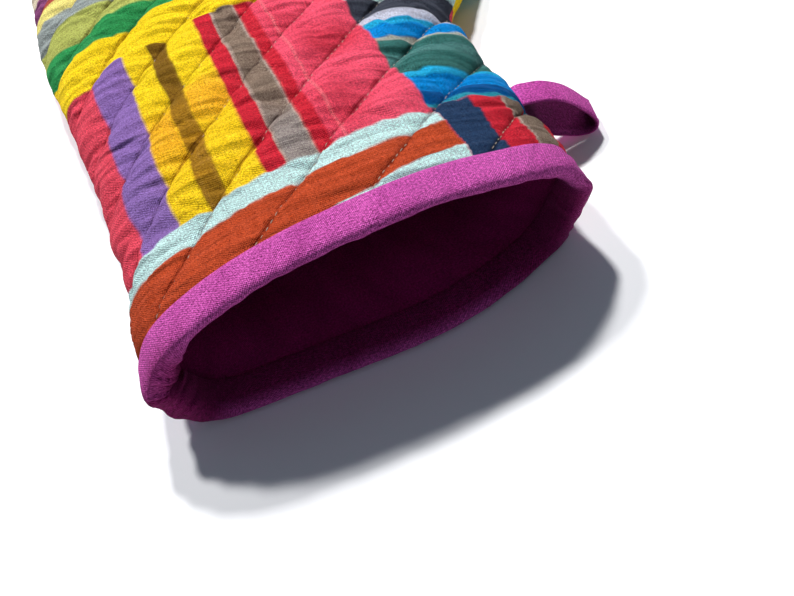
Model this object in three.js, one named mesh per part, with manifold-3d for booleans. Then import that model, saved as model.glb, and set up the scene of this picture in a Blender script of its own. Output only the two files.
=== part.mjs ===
// Quilted oven mitt lying on its back panel, mouth open, thumb to the right. Millimetres, +Z up.
// It is worn like this: the hand goes in at the cuff, y = 0, and the fingers point along +Y.
// Four layers of cloth, each a palm (upper) and a back (lower) panel, are cut at the knuckles and at
// the root of the thumb, where the cloth folds, so that each length can turn as a body of its own.
import * as THREE from "three";
import { mergeVertices } from "three/addons/utils/BufferGeometryUtils.js";
import Module from "manifold-3d";

// Driving dimensions.
const MITT_LENGTH = 325;
const FINGERTIP_ROUND = 60; // length of the rounded end past the straight sides
const BINDING_WIDTH = 12.7;
const BINDING_THICKNESS = 1;
const BINDING_EASE = 0.35; // gap between the binding and the cloth it wraps
const RIM_INSET = 1.4; // the raw edges stop this far behind the front of the binding
const CUT = 0.6; // width of the cut between two lengths that turn
const SEAM_GAP = 0.4; // between the palm and back panels along the side seam
const KNUCKLE = { y: 222, z: 28, openTan: Math.tan(THREE.MathUtils.degToRad(52)) };
const THUMB_NECK = { crotch: [66, 201], heel: [79, 115], z: 24.5, openTan: Math.tan(THREE.MathUtils.degToRad(42)) };
const THUMB = { base: [54, 140], tilt: 34, behind: 32, reach: 80, round: 27, half: 27, floor: 0.4 };
const LOOP = { hinge: [74.1, 58.5, 21], width: 11, thickness: 1.6 };
const SIDES = 24; // of every section, the same in each layer so that their flats stay parallel

// The layers from the outside in: how deep each starts, how thick it is, and its cloth.
const LAYERS = [
  { name: "outer", depth: 0, thickness: 0.8, colour: 0xc23a4a, roughness: 0.85 },
  { name: "batting", depth: 1.2, thickness: 2.4, colour: 0xf2efe6, roughness: 1 },
  { name: "insulation", depth: 4, thickness: 1.2, colour: 0xc9ccd0, roughness: 0.7 },
  { name: "lining", depth: 5.6, thickness: 0.6, colour: 0x7a1250, roughness: 0.9 },
];
const CLOTH_DEPTH = 6.2; // through all four layers
const MAGENTA = 0xa81e8c;

// Smooth curve through [y, value] stations, level beyond the first and the last.
function profile(stations) {
  const slope = stations.map((s, i) => {
    if (i === 0 || i === stations.length - 1) return 0;
    const [before, after] = [stations[i - 1], stations[i + 1]];
    return (after[1] - before[1]) / (after[0] - before[0]);
  });
  return (y) => {
    const last = stations.length - 1;
    if (y <= stations[0][0]) return stations[0][1];
    if (y >= stations[last][0]) return stations[last][1];
    const i = stations.findIndex((s) => s[0] > y) - 1;
    const step = stations[i + 1][0] - stations[i][0];
    const t = (y - stations[i][0]) / step;
    const ends = (2 * t ** 3 - 3 * t ** 2) * (stations[i][1] - stations[i + 1][1]) + stations[i][1];
    const slopes = (t ** 3 - 2 * t ** 2 + t) * slope[i] + (t ** 3 - t ** 2) * slope[i + 1];
    return ends + step * slopes;
  };
}

// The hand part of the mitt: its side seams, its upper surface and the clearance under it.
// Under the binding, up to y = CUFF, the section stays the same.
const CUFF = 14;
const leftSeam = profile([[CUFF, -71], [45, -69], [100, -71], [150, -75], [210, -80], [265, -77]]);
const rightSeam = profile([[CUFF, 71], [60, 72], [125, 72], [190, 64], [235, 61], [265, 57]]);
const handTop = profile([[CUFF, 53], [40, 48.5], [90, 43], [150, 37], [210, 32], [265, 28]]);
const clearance = profile([[CUFF, BINDING_THICKNESS + BINDING_EASE], [40, 0]]);
const SEAM_SHARE = 0.45; // height of the side seam as a share of the height of the mitt
const thumbTop = profile([[-THUMB.behind, 30], [20, 29], [THUMB.reach, 25]]);

// Section of the mitt as a superellipse with a flat underside, at an angle round it.
// half, up and down are its reach sideways, above and below the seam, already less the layer's depth.
function sectionPoint(angle, half, up, down) {
  const [c, s] = [Math.cos(angle), Math.sin(angle)];
  const across = Math.sign(c) * Math.abs(c) ** (2 / 2.4) * half;
  const lift = Math.abs(s) ** (2 / 1.9);
  return [across, s >= 0 ? up * lift : -Math.min(down, down * 1.15 * lift)];
}

// Ring of points of the hand part at a depth into the cloth; round is the angle into the fingertips.
function handRing(y, depth, round) {
  const [left, right] = [leftSeam(y), rightSeam(y)];
  const seam = handTop(y) * SEAM_SHARE;
  const shrink = Math.max(Math.cos(round), 0);
  const along = y + (FINGERTIP_ROUND - depth) * Math.sin(round);
  return Array.from({ length: SIDES }, (_, i) => {
    const [across, lift] = sectionPoint(
      (2 * Math.PI * i) / SIDES,
      ((right - left) / 2 - depth) * shrink,
      (handTop(y) - seam - depth) * shrink ** 0.8,
      (seam - clearance(y) - depth) * shrink ** 0.8,
    );
    return new THREE.Vector3((left + right) / 2 + across, along, seam + lift);
  });
}

const thumbWay = new THREE.Vector3(0, 1, 0).applyAxisAngle(
  new THREE.Vector3(0, 0, -1),
  THREE.MathUtils.degToRad(THUMB.tilt),
);
const thumbSide = new THREE.Vector3().crossVectors(thumbWay, new THREE.Vector3(0, 0, 1));

// The same for the thumb, at a distance along its own centre line.
function thumbRing(s, depth, round) {
  const seam = handTop(110) * SEAM_SHARE * 0.8;
  const shrink = Math.max(Math.cos(round), 0);
  const along = s + (THUMB.round - depth) * Math.sin(round);
  return Array.from({ length: SIDES }, (_, i) => {
    const [across, lift] = sectionPoint(
      (2 * Math.PI * i) / SIDES,
      (THUMB.half - depth) * shrink,
      (thumbTop(s) - seam - depth) * shrink ** 0.8,
      (seam - THUMB.floor - depth) * shrink ** 0.8,
    );
    return new THREE.Vector3(...THUMB.base, seam + lift)
      .addScaledVector(thumbWay, along)
      .addScaledVector(thumbSide, across);
  });
}

// Closed solid through a list of rings; flat ends.
function loft(rings) {
  const sides = rings[0].length;
  const index = [];
  rings.slice(1).forEach((_, r) => {
    for (let i = 0; i < sides; i++) {
      const [a, b] = [r * sides + i, r * sides + ((i + 1) % sides)];
      index.push(a, b, b + sides, a, b + sides, a + sides);
    }
  });
  const middle = (ring) => ring.reduce((sum, p) => sum.add(p), new THREE.Vector3()).divideScalar(sides);
  const points = [...rings.flat(), middle(rings[0]), middle(rings.at(-1))];
  const lastRing = (rings.length - 1) * sides;
  for (let i = 0; i < sides; i++) {
    const next = (i + 1) % sides;
    index.push(next, i, points.length - 2, lastRing + i, lastRing + next, points.length - 1);
  }
  const geometry = new THREE.BufferGeometry().setFromPoints(points);
  return geometry.setIndex(index);
}

const wasm = await Module();
wasm.setup();

// A closed geometry as a solid to join and cut, facing out whichever way it was wound.
function solidOf(geometry) {
  const bare = geometry.clone();
  bare.deleteAttribute("normal");
  bare.deleteAttribute("uv");
  const merged = mergeVertices(bare, 1e-3);
  const triVerts = Uint32Array.from(merged.index.array);
  const vertProperties = merged.attributes.position.array;
  const solid = new wasm.Manifold(new wasm.Mesh({ numProp: 3, vertProperties, triVerts }));
  if (solid.volume() > 0) return solid;
  for (let i = 0; i < triVerts.length; i += 3) {
    [triVerts[i], triVerts[i + 1]] = [triVerts[i + 1], triVerts[i]];
  }
  return new wasm.Manifold(new wasm.Mesh({ numProp: 3, vertProperties, triVerts }));
}

function geometryOf(solid) {
  const mesh = solid.getMesh();
  const geometry = new THREE.BufferGeometry();
  geometry.setAttribute("position", new THREE.BufferAttribute(mesh.vertProperties, 3));
  return geometry.setIndex(new THREE.BufferAttribute(mesh.triVerts, 1));
}

// Everything inside the mitt from a depth into the cloth inwards, hand and thumb together. It starts at
// the raw edges of the cloth, or a reach in front of them so that it can cut the mouth open.
function inside(depth, reach) {
  const straight = [RIM_INSET - reach, RIM_INSET, CUFF, 40, 70, 110, 155, 190, 222, 245, MITT_LENGTH - FINGERTIP_ROUND];
  const hand = straight.slice(reach ? 0 : 1).map((y) => handRing(y, depth, 0));
  const thumb = [-THUMB.behind + depth, 20, THUMB.reach].map((s) => thumbRing(s, depth, 0));
  for (const round of [30, 55, 75, 90].map(THREE.MathUtils.degToRad)) {
    hand.push(handRing(straight.at(-1), depth, round));
    thumb.push(thumbRing(THUMB.reach, depth, round));
  }
  return solidOf(loft(hand)).add(solidOf(loft(thumb)));
}

// Upright prism over a plan outline, from z = bottom to z = top.
function prism(outline, bottom, top) {
  const shape = new THREE.Shape(outline.map(([x, y]) => new THREE.Vector2(x, y)));
  const geometry = new THREE.ExtrudeGeometry(shape, { depth: top - bottom, bevelEnabled: false });
  return solidOf(geometry.translate(0, 0, bottom));
}

const FAR = 400;
const RIGHT = new THREE.Vector3(1, 0, 0);
const AHEAD = new THREE.Vector3(0, 1, 0);
const UP = new THREE.Vector3(0, 0, 1);

// Wedge above a hinge that lets the length beyond it fold up towards the palm.
function foldWedge(centre, outward, tangent) {
  const side = new THREE.Vector3().crossVectors(outward, UP);
  const corners = [[-CUT, 0], [CUT / 2, 0], [CUT / 2 + 40 * tangent, 40], [-CUT, 40]];
  const shape = new THREE.Shape(corners.map(([x, y]) => new THREE.Vector2(x, y)));
  const geometry = new THREE.ExtrudeGeometry(shape, { depth: 2 * FAR, bevelEnabled: false });
  const turn = new THREE.Matrix4().makeBasis(outward, UP, side);
  return solidOf(geometry.translate(0, 0, -FAR).applyMatrix4(turn).translate(...centre));
}

const [crotch, heel] = [THUMB_NECK.crotch, THUMB_NECK.heel];
const neckLine = new THREE.Vector3(heel[0] - crotch[0], heel[1] - crotch[1], 0).normalize();
const neckOut = new THREE.Vector3().crossVectors(UP, neckLine);
const neckMiddle = [(crotch[0] + heel[0]) / 2, (crotch[1] + heel[1]) / 2, THUMB_NECK.z];
const thumbOutline = [crotch, heel, [FAR, heel[1]], [FAR, 300], [crotch[0] + 38, 325]];

// Where each moving length of the mitt is, and what is left for the hand.
const half = CUT / 2;
const beyondKnuckles = (shift) => {
  const start = KNUCKLE.y + shift;
  return prism([[-FAR, start], [FAR, start], [FAR, FAR], [-FAR, FAR]], -FAR, FAR);
};
const beyondNeck = (shift) => {
  const moved = thumbOutline.map(([x, y]) => [x + neckOut.x * shift, y + neckOut.y * shift]);
  return prism(moved, -FAR, FAR);
};
const thumbPlace = beyondNeck(half).subtract(foldWedge(neckMiddle, neckOut, THUMB_NECK.openTan));
const fingersPlace = beyondKnuckles(half)
  .subtract(foldWedge([0, KNUCKLE.y, KNUCKLE.z], AHEAD, KNUCKLE.openTan))
  .subtract(beyondNeck(-half));
const notHand = beyondKnuckles(-half).add(beyondNeck(-half));

// The room above and below the side seam, which falls as the mitt gets lower towards the fingertips.
function seamSide(upper) {
  const ends = [[-20, handTop(0)], [0, handTop(0)], [90, handTop(90)], [FAR, 22]];
  const shift = (upper ? SEAM_GAP : -SEAM_GAP) / 2;
  const edge = ends.map(([y, top]) => new THREE.Vector2(y, top * SEAM_SHARE + shift));
  const far = upper ? FAR : -FAR;
  const shape = new THREE.Shape([...edge, new THREE.Vector2(FAR, far), new THREE.Vector2(-20, far)]);
  const geometry = new THREE.ExtrudeGeometry(shape, { depth: 2 * FAR, bevelEnabled: false });
  const turn = new THREE.Matrix4().makeBasis(AHEAD, UP, RIGHT);
  return solidOf(geometry.translate(0, 0, -FAR).applyMatrix4(turn));
}

function materialOf({ colour, roughness }) {
  return new THREE.MeshStandardMaterial({ color: colour, roughness, metalness: 0 });
}

function clothPanels() {
  const panels = new THREE.Group();
  const places = {
    hand: (shell) => shell.subtract(notHand),
    fingers: (shell) => shell.intersect(fingersPlace),
    thumb: (shell) => shell.intersect(thumbPlace),
  };
  const sides = { palm: seamSide(true), back: seamSide(false) };
  for (const layer of LAYERS) {
    const shell = inside(layer.depth, 0).subtract(inside(layer.depth + layer.thickness, 5));
    for (const [side, room] of Object.entries(sides)) {
      for (const [place, cut] of Object.entries(places)) {
        const mesh = new THREE.Mesh(geometryOf(cut(shell.intersect(room))), materialOf(layer));
        mesh.name = `${layer.name}_${side}_${place}`;
        panels.add(mesh);
      }
    }
  }
  return panels;
}

// Folded strip round the mouth: a U that wraps the edges of all the layers.
function binding() {
  const out = -(BINDING_EASE + BINDING_THICKNESS);
  const into = CLOTH_DEPTH + BINDING_EASE + BINDING_THICKNESS;
  const skin = BINDING_THICKNESS;
  const sectionU = [
    [out, BINDING_WIDTH], [out, 2.2], [out + 0.5, 0.8], [out + 1.8, 0], [into - 1.8, 0], [into - 0.5, 0.8],
    [into, 2.2], [into, BINDING_WIDTH], [into - skin, BINDING_WIDTH], [into - skin, skin],
    [out + skin, skin], [out + skin, BINDING_WIDTH],
  ];
  const rings = sectionU.map(([depth, y]) => handRing(0, depth, 0).map((p) => p.setY(y)));
  const index = [];
  rings.forEach((_, r) => {
    const next = (r + 1) % rings.length;
    for (let i = 0; i < SIDES; i++) {
      const j = (i + 1) % SIDES;
      index.push(r * SIDES + i, r * SIDES + j, next * SIDES + j);
      index.push(r * SIDES + i, next * SIDES + j, next * SIDES + i);
    }
  });
  const geometry = new THREE.BufferGeometry().setFromPoints(rings.flat()).setIndex(index);
  const mesh = new THREE.Mesh(geometryOf(solidOf(geometry)), materialOf({ colour: MAGENTA, roughness: 0.8 }));
  mesh.name = "cuff_binding";
  return mesh;
}

// Ribbon doubled back on itself, its two ends together just off the side seam, drooping to the table.
function hangingLoop() {
  const way = new THREE.CatmullRomCurve3(
    [[0, 0.96], [6, 0.6], [13, -3.4], [18.5, -9], [20.5, -14], [17.5, -18.3], [11, -16.5], [5, -9], [0, -0.96]].map(
      ([x, z]) => new THREE.Vector3(x, z, 0),
    ),
  );
  const steps = 26;
  const edge = (sideways) =>
    Array.from({ length: steps + 1 }, (_, i) => {
      const tangent = way.getTangentAt(i / steps);
      const p = way.getPointAt(i / steps);
      return new THREE.Vector2(p.x - tangent.y * sideways, p.y + tangent.x * sideways);
    });
  const shape = new THREE.Shape([...edge(LOOP.thickness / 2), ...edge(-LOOP.thickness / 2).reverse()]);
  const geometry = new THREE.ExtrudeGeometry(shape, { depth: LOOP.width, bevelEnabled: false });
  geometry.translate(0, 0, -LOOP.width / 2);
  geometry.applyMatrix4(new THREE.Matrix4().makeBasis(RIGHT, UP, AHEAD.clone().negate()));
  const mesh = new THREE.Mesh(geometryOf(solidOf(geometry)), materialOf({ colour: MAGENTA, roughness: 0.8 }));
  mesh.name = "hanging_loop";
  mesh.position.set(...LOOP.hinge);
  return mesh;
}

// The origin is on the table, under the middle of the mitt's box.
const mitt = new THREE.Group();
mitt.add(clothPanels(), binding(), hangingLoop());
const box = new THREE.Box3().setFromObject(mitt);
mitt.position.set(-(box.min.x + box.max.x) / 2, -(box.min.y + box.max.y) / 2, -box.min.z);

const part = new THREE.Group();
part.add(mitt);
export default part;
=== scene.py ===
"""Quilted oven mitt lying on its back panel: striped cotton shell, bound cuff, lining and hanging loop.

Shapes are worked out in millimetres of the mitt itself: x from the middle of the cuff, y from its front
edge towards the fingertips, z from the table. place() takes them into the frame, in metres.
"""
import math

import bpy
import numpy as np
from mathutils import Matrix, Vector


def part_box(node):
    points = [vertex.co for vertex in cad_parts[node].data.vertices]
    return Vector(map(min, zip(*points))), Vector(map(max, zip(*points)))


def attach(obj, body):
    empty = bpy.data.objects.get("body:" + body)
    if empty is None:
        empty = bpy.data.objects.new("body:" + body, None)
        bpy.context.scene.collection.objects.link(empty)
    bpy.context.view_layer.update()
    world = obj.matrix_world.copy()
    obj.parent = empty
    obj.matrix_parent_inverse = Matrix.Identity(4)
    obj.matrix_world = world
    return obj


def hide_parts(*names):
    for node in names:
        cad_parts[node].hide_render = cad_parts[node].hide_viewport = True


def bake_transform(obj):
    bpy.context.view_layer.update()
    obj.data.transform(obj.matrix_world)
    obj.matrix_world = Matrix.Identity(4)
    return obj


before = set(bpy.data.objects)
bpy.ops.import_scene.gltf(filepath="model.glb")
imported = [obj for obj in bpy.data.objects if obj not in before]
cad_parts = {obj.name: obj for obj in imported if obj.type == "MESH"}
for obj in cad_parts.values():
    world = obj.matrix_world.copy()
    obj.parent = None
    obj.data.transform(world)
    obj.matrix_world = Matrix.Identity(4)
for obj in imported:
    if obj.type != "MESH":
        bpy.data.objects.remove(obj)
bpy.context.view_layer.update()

cuff_low, cuff_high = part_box("cuff_binding")
ORIGIN = np.array([(cuff_low[0] + cuff_high[0]) / 2, cuff_low[1], 0.0])


def place(points):
    return np.asarray(points, float) * 0.001 + ORIGIN


# ---------------------------------------------------------------- the shape of the cloth

BINDING_WIDTH = 12.7
CUFF = 14.0  # the section stays the same up to here
STRAIGHT_END = 265.0
TIP_LENGTH = 60.0
SEAM_SHARE = 0.45
QUILT = 25.4  # between quilting lines
QUILT_START = -3.2  # where one of them starts, across the lines
CLOTH_DEPTH = 6.6  # through all the layers
THUMB_BASE = np.array([54.0, 140.0])
THUMB_TILT = math.radians(34)
THUMB_HALF = 27.0
THUMB_REACH = 80.0
THUMB_RISE, THUMB_DROP = 12.5, 13.5
NECK = np.array([[66.0, 201.0], [79.0, 115.0]])  # the crotch of the thumb and its heel


def profile(stations):
    """Smooth curve through (y, value) stations, level past both ends."""
    at, value = np.array(stations, float).T
    slope = np.zeros(len(at))
    slope[1:-1] = (value[2:] - value[:-2]) / (at[2:] - at[:-2])

    def curve(y):
        y = np.clip(y, at[0], at[-1])
        i = np.clip(np.searchsorted(at, y, side="right") - 1, 0, len(at) - 2)
        step = at[i + 1] - at[i]
        t = (y - at[i]) / step
        ends = (2 * t**3 - 3 * t**2) * (value[i] - value[i + 1]) + value[i]
        return ends + step * ((t**3 - 2 * t**2 + t) * slope[i] + (t**3 - t**2) * slope[i + 1])

    return curve


left_seam = profile([(CUFF, -70.5), (45, -68.5), (100, -70.5), (150, -74.5), (210, -80), (265, -79)])
right_seam = profile([(CUFF, 70.5), (60, 71.5), (125, 72), (190, 64), (235, 61), (265, 57)])
hand_top = profile([(CUFF, 53), (40, 48.5), (90, 43), (150, 37), (210, 32), (265, 28)])
clearance = profile([(CUFF, 1.35), (40, 0)])


def run_along(points):
    """Length of the line through points, up to each of them."""
    return np.concatenate([[0], np.cumsum(np.linalg.norm(np.diff(points, axis=0), axis=1))])


def smooth(x, low, high):
    t = np.clip((x - low) / (high - low), 0, 1)
    return t * t * (3 - 2 * t)


def noise(x, y, seed):
    """Smooth value noise from -1 to 1 with a feature size of 1."""
    table = np.random.default_rng(seed).uniform(-1, 1, (256, 256))
    xi, yi = np.floor(x).astype(int), np.floor(y).astype(int)
    fx, fy = smooth(x - xi, 0, 1), smooth(y - yi, 0, 1)
    corner = lambda a, b: table[(xi + a) % 256, (yi + b) % 256]
    low = corner(0, 0) * (1 - fx) + corner(1, 0) * fx
    high = corner(0, 1) * (1 - fx) + corner(1, 1) * fx
    return low * (1 - fy) + high * fy


# A cross section is a superellipse. Cloth length from the side seam up to the middle, against how far
# in and how far up it has come, for each row of the mitt.
ROWS = np.arange(0.0, STRAIGHT_END + 5, 5.0)
TURN = np.linspace(0, math.pi / 2, 61)


def section_table(half, rise):
    """(cloth length, distance in from the seam, height above it) along quarter sections."""
    inwards = half[:, None] * (1 - np.cos(TURN) ** (2 / 2.4))
    up = rise[:, None] * np.sin(TURN) ** (2 / 1.9)
    steps = np.hypot(np.diff(inwards), np.diff(up))
    return np.hstack([np.zeros((len(half), 1)), np.cumsum(steps, axis=1)]), inwards, up


def hand_sizes(depth):
    half = (right_seam(ROWS) - left_seam(ROWS)) / 2 - depth
    seam = hand_top(ROWS) * SEAM_SHARE
    return half, hand_top(ROWS) - seam - depth


def look_up(distance, y, tables, outer_tables):
    """How far in and up cloth at a distance from the seam comes, each row's own table blended."""
    row = np.clip(y, ROWS[0], ROWS[-1] - 0.01) / 5.0
    low = np.floor(row).astype(int)
    share = row - low
    inwards, up = np.zeros(len(y)), np.zeros(len(y))
    for i in np.unique(low):
        here = low == i
        for j, weight in ((i, 1 - share[here]), (i + 1, share[here])):
            length = tables[0][j]
            along = distance[here] * length[-1] / outer_tables[0][j][-1]
            inwards[here] += weight * np.interp(along, length, tables[1][j])
            up[here] += weight * np.interp(along, length, tables[2][j])
    return inwards, up


OUTER = section_table(*hand_sizes(0))
HALF_CLOTH = OUTER[0][:, -1]  # half the flat width of the hand part, row by row
SPARE = HALF_CLOTH - hand_sizes(0)[0]  # flat width less width when open
THUMB_OUTER = section_table(np.array([THUMB_HALF]), np.array([THUMB_RISE]))
THUMB_SPARE = THUMB_OUTER[0][0, -1] - THUMB_HALF

thumb_way = np.array([math.sin(THUMB_TILT), math.cos(THUMB_TILT)])
thumb_side = np.array([thumb_way[1], -thumb_way[0]])
neck_line = (NECK[1] - NECK[0]) / np.linalg.norm(NECK[1] - NECK[0])
neck_out = np.array([-neck_line[1], neck_line[0]])


def flat_outline():
    """The side seams on the flat cloth: up the left side, round the fingertips, round the thumb."""
    spare = lambda y: np.interp(y, ROWS, SPARE)
    y = np.arange(-200.0, STRAIGHT_END, 5.0)
    left = np.column_stack([left_seam(y) - spare(y), y])
    middle = (left_seam(STRAIGHT_END) + right_seam(STRAIGHT_END)) / 2
    reach = HALF_CLOTH[-1]
    turn = np.linspace(math.pi, 0, 41)
    tip = np.column_stack([middle + reach * np.cos(turn), STRAIGHT_END + (TIP_LENGTH + 4) * np.sin(turn)])
    half = THUMB_HALF + THUMB_SPARE
    s = np.arange(-20.0, THUMB_REACH, 2.0)
    inner = THUMB_BASE + thumb_way * s[:, None] - thumb_side * half
    outer = THUMB_BASE + thumb_way * s[:, None] + thumb_side * half
    seam_x = lambda p: right_seam(p[:, 1]) + spare(p[:, 1])
    inner = inner[inner[:, 0] > seam_x(inner) + 3]
    outer = outer[outer[:, 0] > seam_x(outer) + 1]
    end = THUMB_BASE + thumb_way * THUMB_REACH
    turn = np.linspace(math.pi, 0, 25)[:, None]
    thumb_tip = end + half * (thumb_side * np.cos(turn) + thumb_way * np.sin(turn) * 0.95)
    down = np.arange(STRAIGHT_END - 5, inner[0, 1] + 4, -5.0)
    beside = np.column_stack([right_seam(down) + spare(down), down])
    low = np.arange(outer[0, 1] - 8, -200, -5.0)
    below = np.column_stack([right_seam(low) + spare(low), low])
    return np.vstack([left, tip, beside, inner, thumb_tip, outer[::-1], below])


OUTLINE = flat_outline()


def nearest_seam(points):
    """(distance from the seam, negative outside; unit way inwards from it; nearest point of it)."""
    a, b = OUTLINE, np.roll(OUTLINE, -1, axis=0)
    edge = b - a
    distance = np.full(len(points), np.inf)
    foot, square = np.zeros((len(points), 2)), np.zeros((len(points), 2))
    inside = np.zeros(len(points), bool)
    for p, q, e in zip(a, b, edge):
        t = np.clip(((points - p) @ e) / (e @ e), 0, 1)
        near = p + t[:, None] * e
        far = np.hypot(*(points - near).T)
        closer = far < distance
        distance = np.where(closer, far, distance)
        foot = np.where(closer[:, None], near, foot)
        square = np.where(closer[:, None], np.array([e[1], -e[0]]) / np.hypot(*e), square)
        if p[1] != q[1]:
            crosses = (p[1] > points[:, 1]) != (q[1] > points[:, 1])
            x = p[0] + (points[:, 1] - p[1]) * e[0] / e[1]
            inside ^= crosses & (points[:, 0] < x)
    sign = np.where(inside, 1.0, -1.0)
    inwards = (points - foot) * sign[:, None] / np.maximum(distance, 1e-9)[:, None]
    return distance * sign, np.where((distance < 0.01)[:, None], square, inwards), foot


def thumb_share(points):
    """1 on the thumb and 0 on the hand, changing over round the neck."""
    beyond = (points - NECK.mean(axis=0)) @ neck_out
    past_crotch = smooth(points[:, 1], 205, 225) * (1 - smooth(points[:, 0], 62, 74))
    return smooth(beyond, -18, 14) * (1 - past_crotch) * smooth(points[:, 1], 88, 124)


def cloth_surface(points, palm, depth=0.0):
    """Where flat points of a panel come to when the mitt is open, at a depth into the cloth; in mm."""
    distance, inwards, _ = nearest_seam(points)
    distance = np.maximum(distance, 0)
    y = points[:, 1]
    thumb = thumb_share(points)
    seam_hand = hand_top(y) * SEAM_SHARE
    half, rise = hand_sizes(depth)
    hand_in, hand_up = look_up(distance, y, section_table(half, rise), OUTER)
    if not palm:
        drop = (hand_top(ROWS) * SEAM_SHARE - clearance(ROWS) - depth) * 1.15
        full = section_table(hand_sizes(0)[0], drop + depth * 1.15)
        _, hand_up = look_up(distance, y, section_table(half, drop), full)
    spare = np.interp(y, ROWS, SPARE)
    along = (points - THUMB_BASE) @ thumb_way
    reach = (THUMB_RISE if palm else THUMB_DROP * 1.15) - depth
    table = section_table(np.array([THUMB_HALF - depth]), np.array([reach]))
    near = np.minimum(distance, THUMB_OUTER[0][0, -1]) * table[0][0, -1] / THUMB_OUTER[0][0, -1]
    thumb_in = np.interp(near, table[0][0], table[1][0]) + np.maximum(distance - THUMB_OUTER[0][0, -1], 0)
    thumb_up = np.interp(near, table[0][0], table[2][0]) * (1 - 0.15 * smooth(along, 20, THUMB_REACH))
    hand_in += np.maximum(distance - np.interp(y, ROWS, HALF_CLOTH), 0)
    pull = (spare + hand_in) * (1 - thumb) + (THUMB_SPARE + thumb_in) * thumb + depth - distance
    seam = seam_hand * (1 - thumb) + 14.9 * thumb
    up = hand_up * (1 - thumb) + thumb_up * thumb
    flat = points + inwards * pull[:, None]
    if palm:
        return np.column_stack([flat, seam + up])
    floor = clearance(y) + depth
    return np.column_stack([flat, np.maximum(seam - up, np.minimum(floor, seam))])


lower_lip = profile([(-70, 4), (-60, 2.6), (-45, 0.6), (-22, -1.2), (8, -3.4), (24, -2.4), (42, 1.7),
                     (57, 7.2), (66, 9.4)])


def settle(points):
    """The mouth as it has fallen open: its upper corners drawn back, the lower lip bowed forwards and
    both its ends squared off on the table."""
    x, y, z = points.T
    near = 1 - smooth(y, 6, 64)
    right, left = smooth(x, 38, 72), smooth(-x, 42, 72)
    low = 1 - smooth(z, 4, 30)
    corner = np.exp(-np.maximum(z - 2.6, 0) / 8.5) * (1 - smooth(z, 22, 34))
    square = (18 * smooth(x, 8, 46) - 15 * smooth(-x, 12, 50)) * (1 - smooth(y, 6, 34))
    shift_x = near * (left * (0.8 - 0.6 * low) - right * (0.8 + 2.6 * low)) + square * corner
    upper = 5.2 * right**1.5 + 2.4 * left**1.5
    shift_y = near * (upper * (1 - low) + (lower_lip(x + shift_x) + 0.6) * low)
    lift = 0.8 * near * right * (1 - low)
    return points + np.column_stack([shift_x, shift_y, lift])


# ---------------------------------------------------------------- meshes


def add_object(name, data):
    obj = bpy.data.objects.new(name, data)
    bpy.context.scene.collection.objects.link(obj)
    return obj


def new_mesh(name, points, faces, uv=None, normals=None):
    mesh = bpy.data.meshes.new(name)
    mesh.from_pydata(place(points).tolist(), [], np.asarray(faces).tolist())
    mesh.polygons.foreach_set("use_smooth", [True] * len(mesh.polygons))
    if uv is not None:
        corner = np.zeros(len(mesh.loops), int)
        mesh.loops.foreach_get("vertex_index", corner)
        layer = mesh.uv_layers.new(name="cloth")
        layer.data.foreach_set("uv", (np.asarray(uv)[corner] * 0.001).ravel())
    if normals is not None:
        mesh.normals_split_custom_set_from_vertices(normals.tolist())
    return add_object(name, mesh)


def vertex_normals(points, faces):
    """Area-weighted normals of quads."""
    a, b, c, d = (points[faces[:, i]] for i in range(4))
    across = np.cross(c - a, d - b)
    normal = np.zeros_like(points)
    for i in range(4):
        np.add.at(normal, faces[:, i], across)
    return normal / np.maximum(np.linalg.norm(normal, axis=1), 1e-12)[:, None]


def facing_out(surface, quads, palm):
    """A panel's quads, turned to face outwards if they don't, and its normals."""
    normal = vertex_normals(surface, quads)
    way = 1 if palm else -1
    if normal[np.argmax(way * surface[:, 2]), 2] * way < 0:
        return quads[:, ::-1], -normal
    return quads, normal


def quilt_grid(step_along, offsets):
    """Flat grid whose rows run along the quilting lines, with rows at these offsets from each line, cut
    to the outline: (flat points, quads, whether each point is on a line, its row's number)."""
    lines = np.arange(-13, 6)
    rows = np.concatenate([QUILT_START + QUILT * n + offsets for n in lines])
    is_line = np.tile(offsets == 0, len(lines))
    along = np.arange(-70.0, 300.0, step_along)
    p, q = np.meshgrid(rows, along, indexing="ij")
    points = np.column_stack([((q + p) / math.sqrt(2)).ravel(), ((q - p) / math.sqrt(2)).ravel()])
    distance, _, foot = nearest_seam(points)
    front = points[:, 1] < EDGE
    margin = 0.5
    solid = (distance > margin) & ~front
    index = np.arange(len(points)).reshape(p.shape)
    quads = np.stack([index[:-1, :-1], index[1:, :-1], index[1:, 1:], index[:-1, 1:]], axis=-1)
    quads = quads.reshape(-1, 4)
    quads = quads[solid[quads].any(axis=1)]
    snapped = np.where((distance <= margin)[:, None], foot, points)
    snapped[:, 1] = np.maximum(snapped[:, 1], EDGE)
    used, inverse = np.unique(quads, return_inverse=True)
    on_line = np.repeat(is_line, len(along))
    row = np.repeat(np.arange(len(rows)), len(along))
    return snapped[used], inverse.reshape(-1, 4), on_line[used], row[used]


EDGE = 1.4  # the cloth's raw edges, inside the binding


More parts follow.
